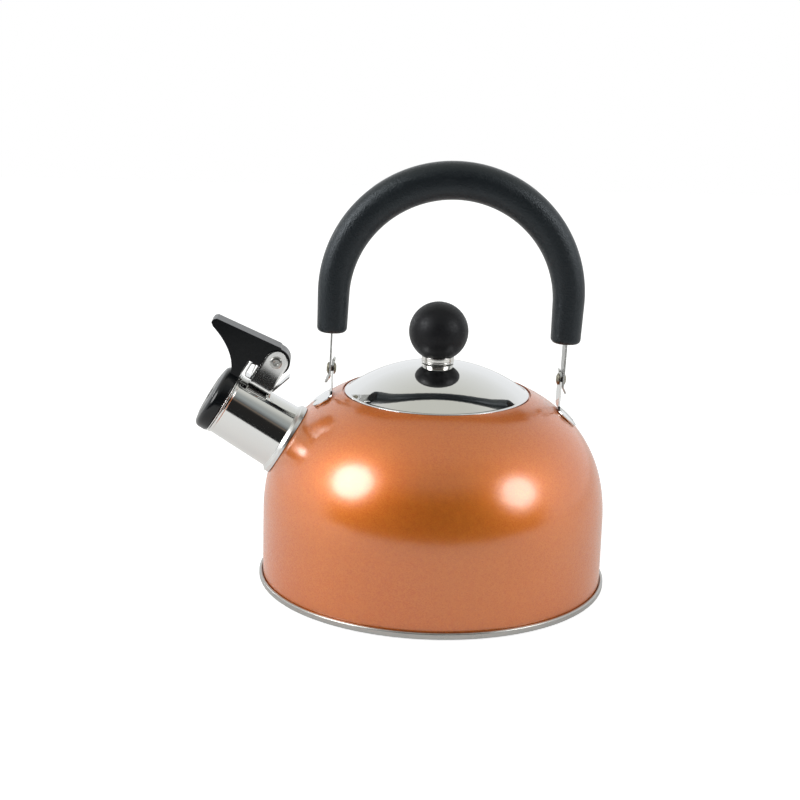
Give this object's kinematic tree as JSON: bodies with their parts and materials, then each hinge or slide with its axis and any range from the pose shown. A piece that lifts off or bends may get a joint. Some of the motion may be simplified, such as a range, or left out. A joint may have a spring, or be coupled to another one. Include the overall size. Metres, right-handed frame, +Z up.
{
  "type": "stovetop whistling kettle",
  "caption": "Domed stovetop kettle with a rolled base seam, lift-off lid with a ball knob, a short spout closed by a lever whistle, and a swinging arched handle.",
  "frame": {"origin": "centre of the flat underside of the base", "axes": "+Z up, spout towards -X, handle hinge line along X, +Y to the back"},
  "size_m": [0.2132, 0.18, 0.2176],
  "materials": {
    "copper_paint": "satin metallic copper paint with a fine sparkle",
    "mirror_steel": "mirror-polished stainless steel",
    "satin_steel": "satin stainless steel",
    "black_gloss": "glossy black moulded plastic",
    "black_satin": "satin black moulded plastic",
    "grip_black": "matt blue-black plastic with a fine leathery texture",
    "brass": "turned brass"
  },
  "bodies": {
    "kettle_body": {"body_shell": "copper_paint", "base_pan": "satin_steel", "spout_tube": "mirror_steel", "whistle_bracket": "mirror_steel", "leaf_spring": "mirror_steel", "whistle_pin": "satin_steel", "handle_ear_left": "mirror_steel", "handle_ear_right": "mirror_steel", "handle_rivet_left": "satin_steel", "handle_rivet_right": "satin_steel"},
    "whistle": {"whistle_lever": "black_gloss", "whistle_plate": "mirror_steel", "whistle_cup": "satin_steel"},
    "lid": {"lid_dome": "mirror_steel", "lid_skirt": "satin_steel", "knob_collar": "mirror_steel", "knob_ball": "black_satin", "knob_insert": "brass", "knob_washer": "satin_steel", "knob_screw": "satin_steel"},
    "handle": {"handle_strap": "satin_steel", "handle_grip": "grip_black"}
  },
  "joints": [
    {"name": "whistle_open", "type": "hinge", "parent": "kettle_body", "child": "whistle", "pos_m": [-0.08188, 0, 0.11476], "axis": [0, 1, 0], "range_deg": [0, 70], "stiffness_Nm_per_rad": 0.01, "springref_deg": -20.05},
    {"name": "lid_lift", "type": "slide", "parent": "kettle_body", "child": "lid", "axis": [0, 0, 1], "range_m": [0, 0.018]},
    {"name": "handle_swing", "type": "hinge", "parent": "kettle_body", "child": "handle", "pos_m": [0.0047, 0, 0.10933], "axis": [0.9996, 0, -0.028], "range_deg": [-100, 100]}
  ]
}
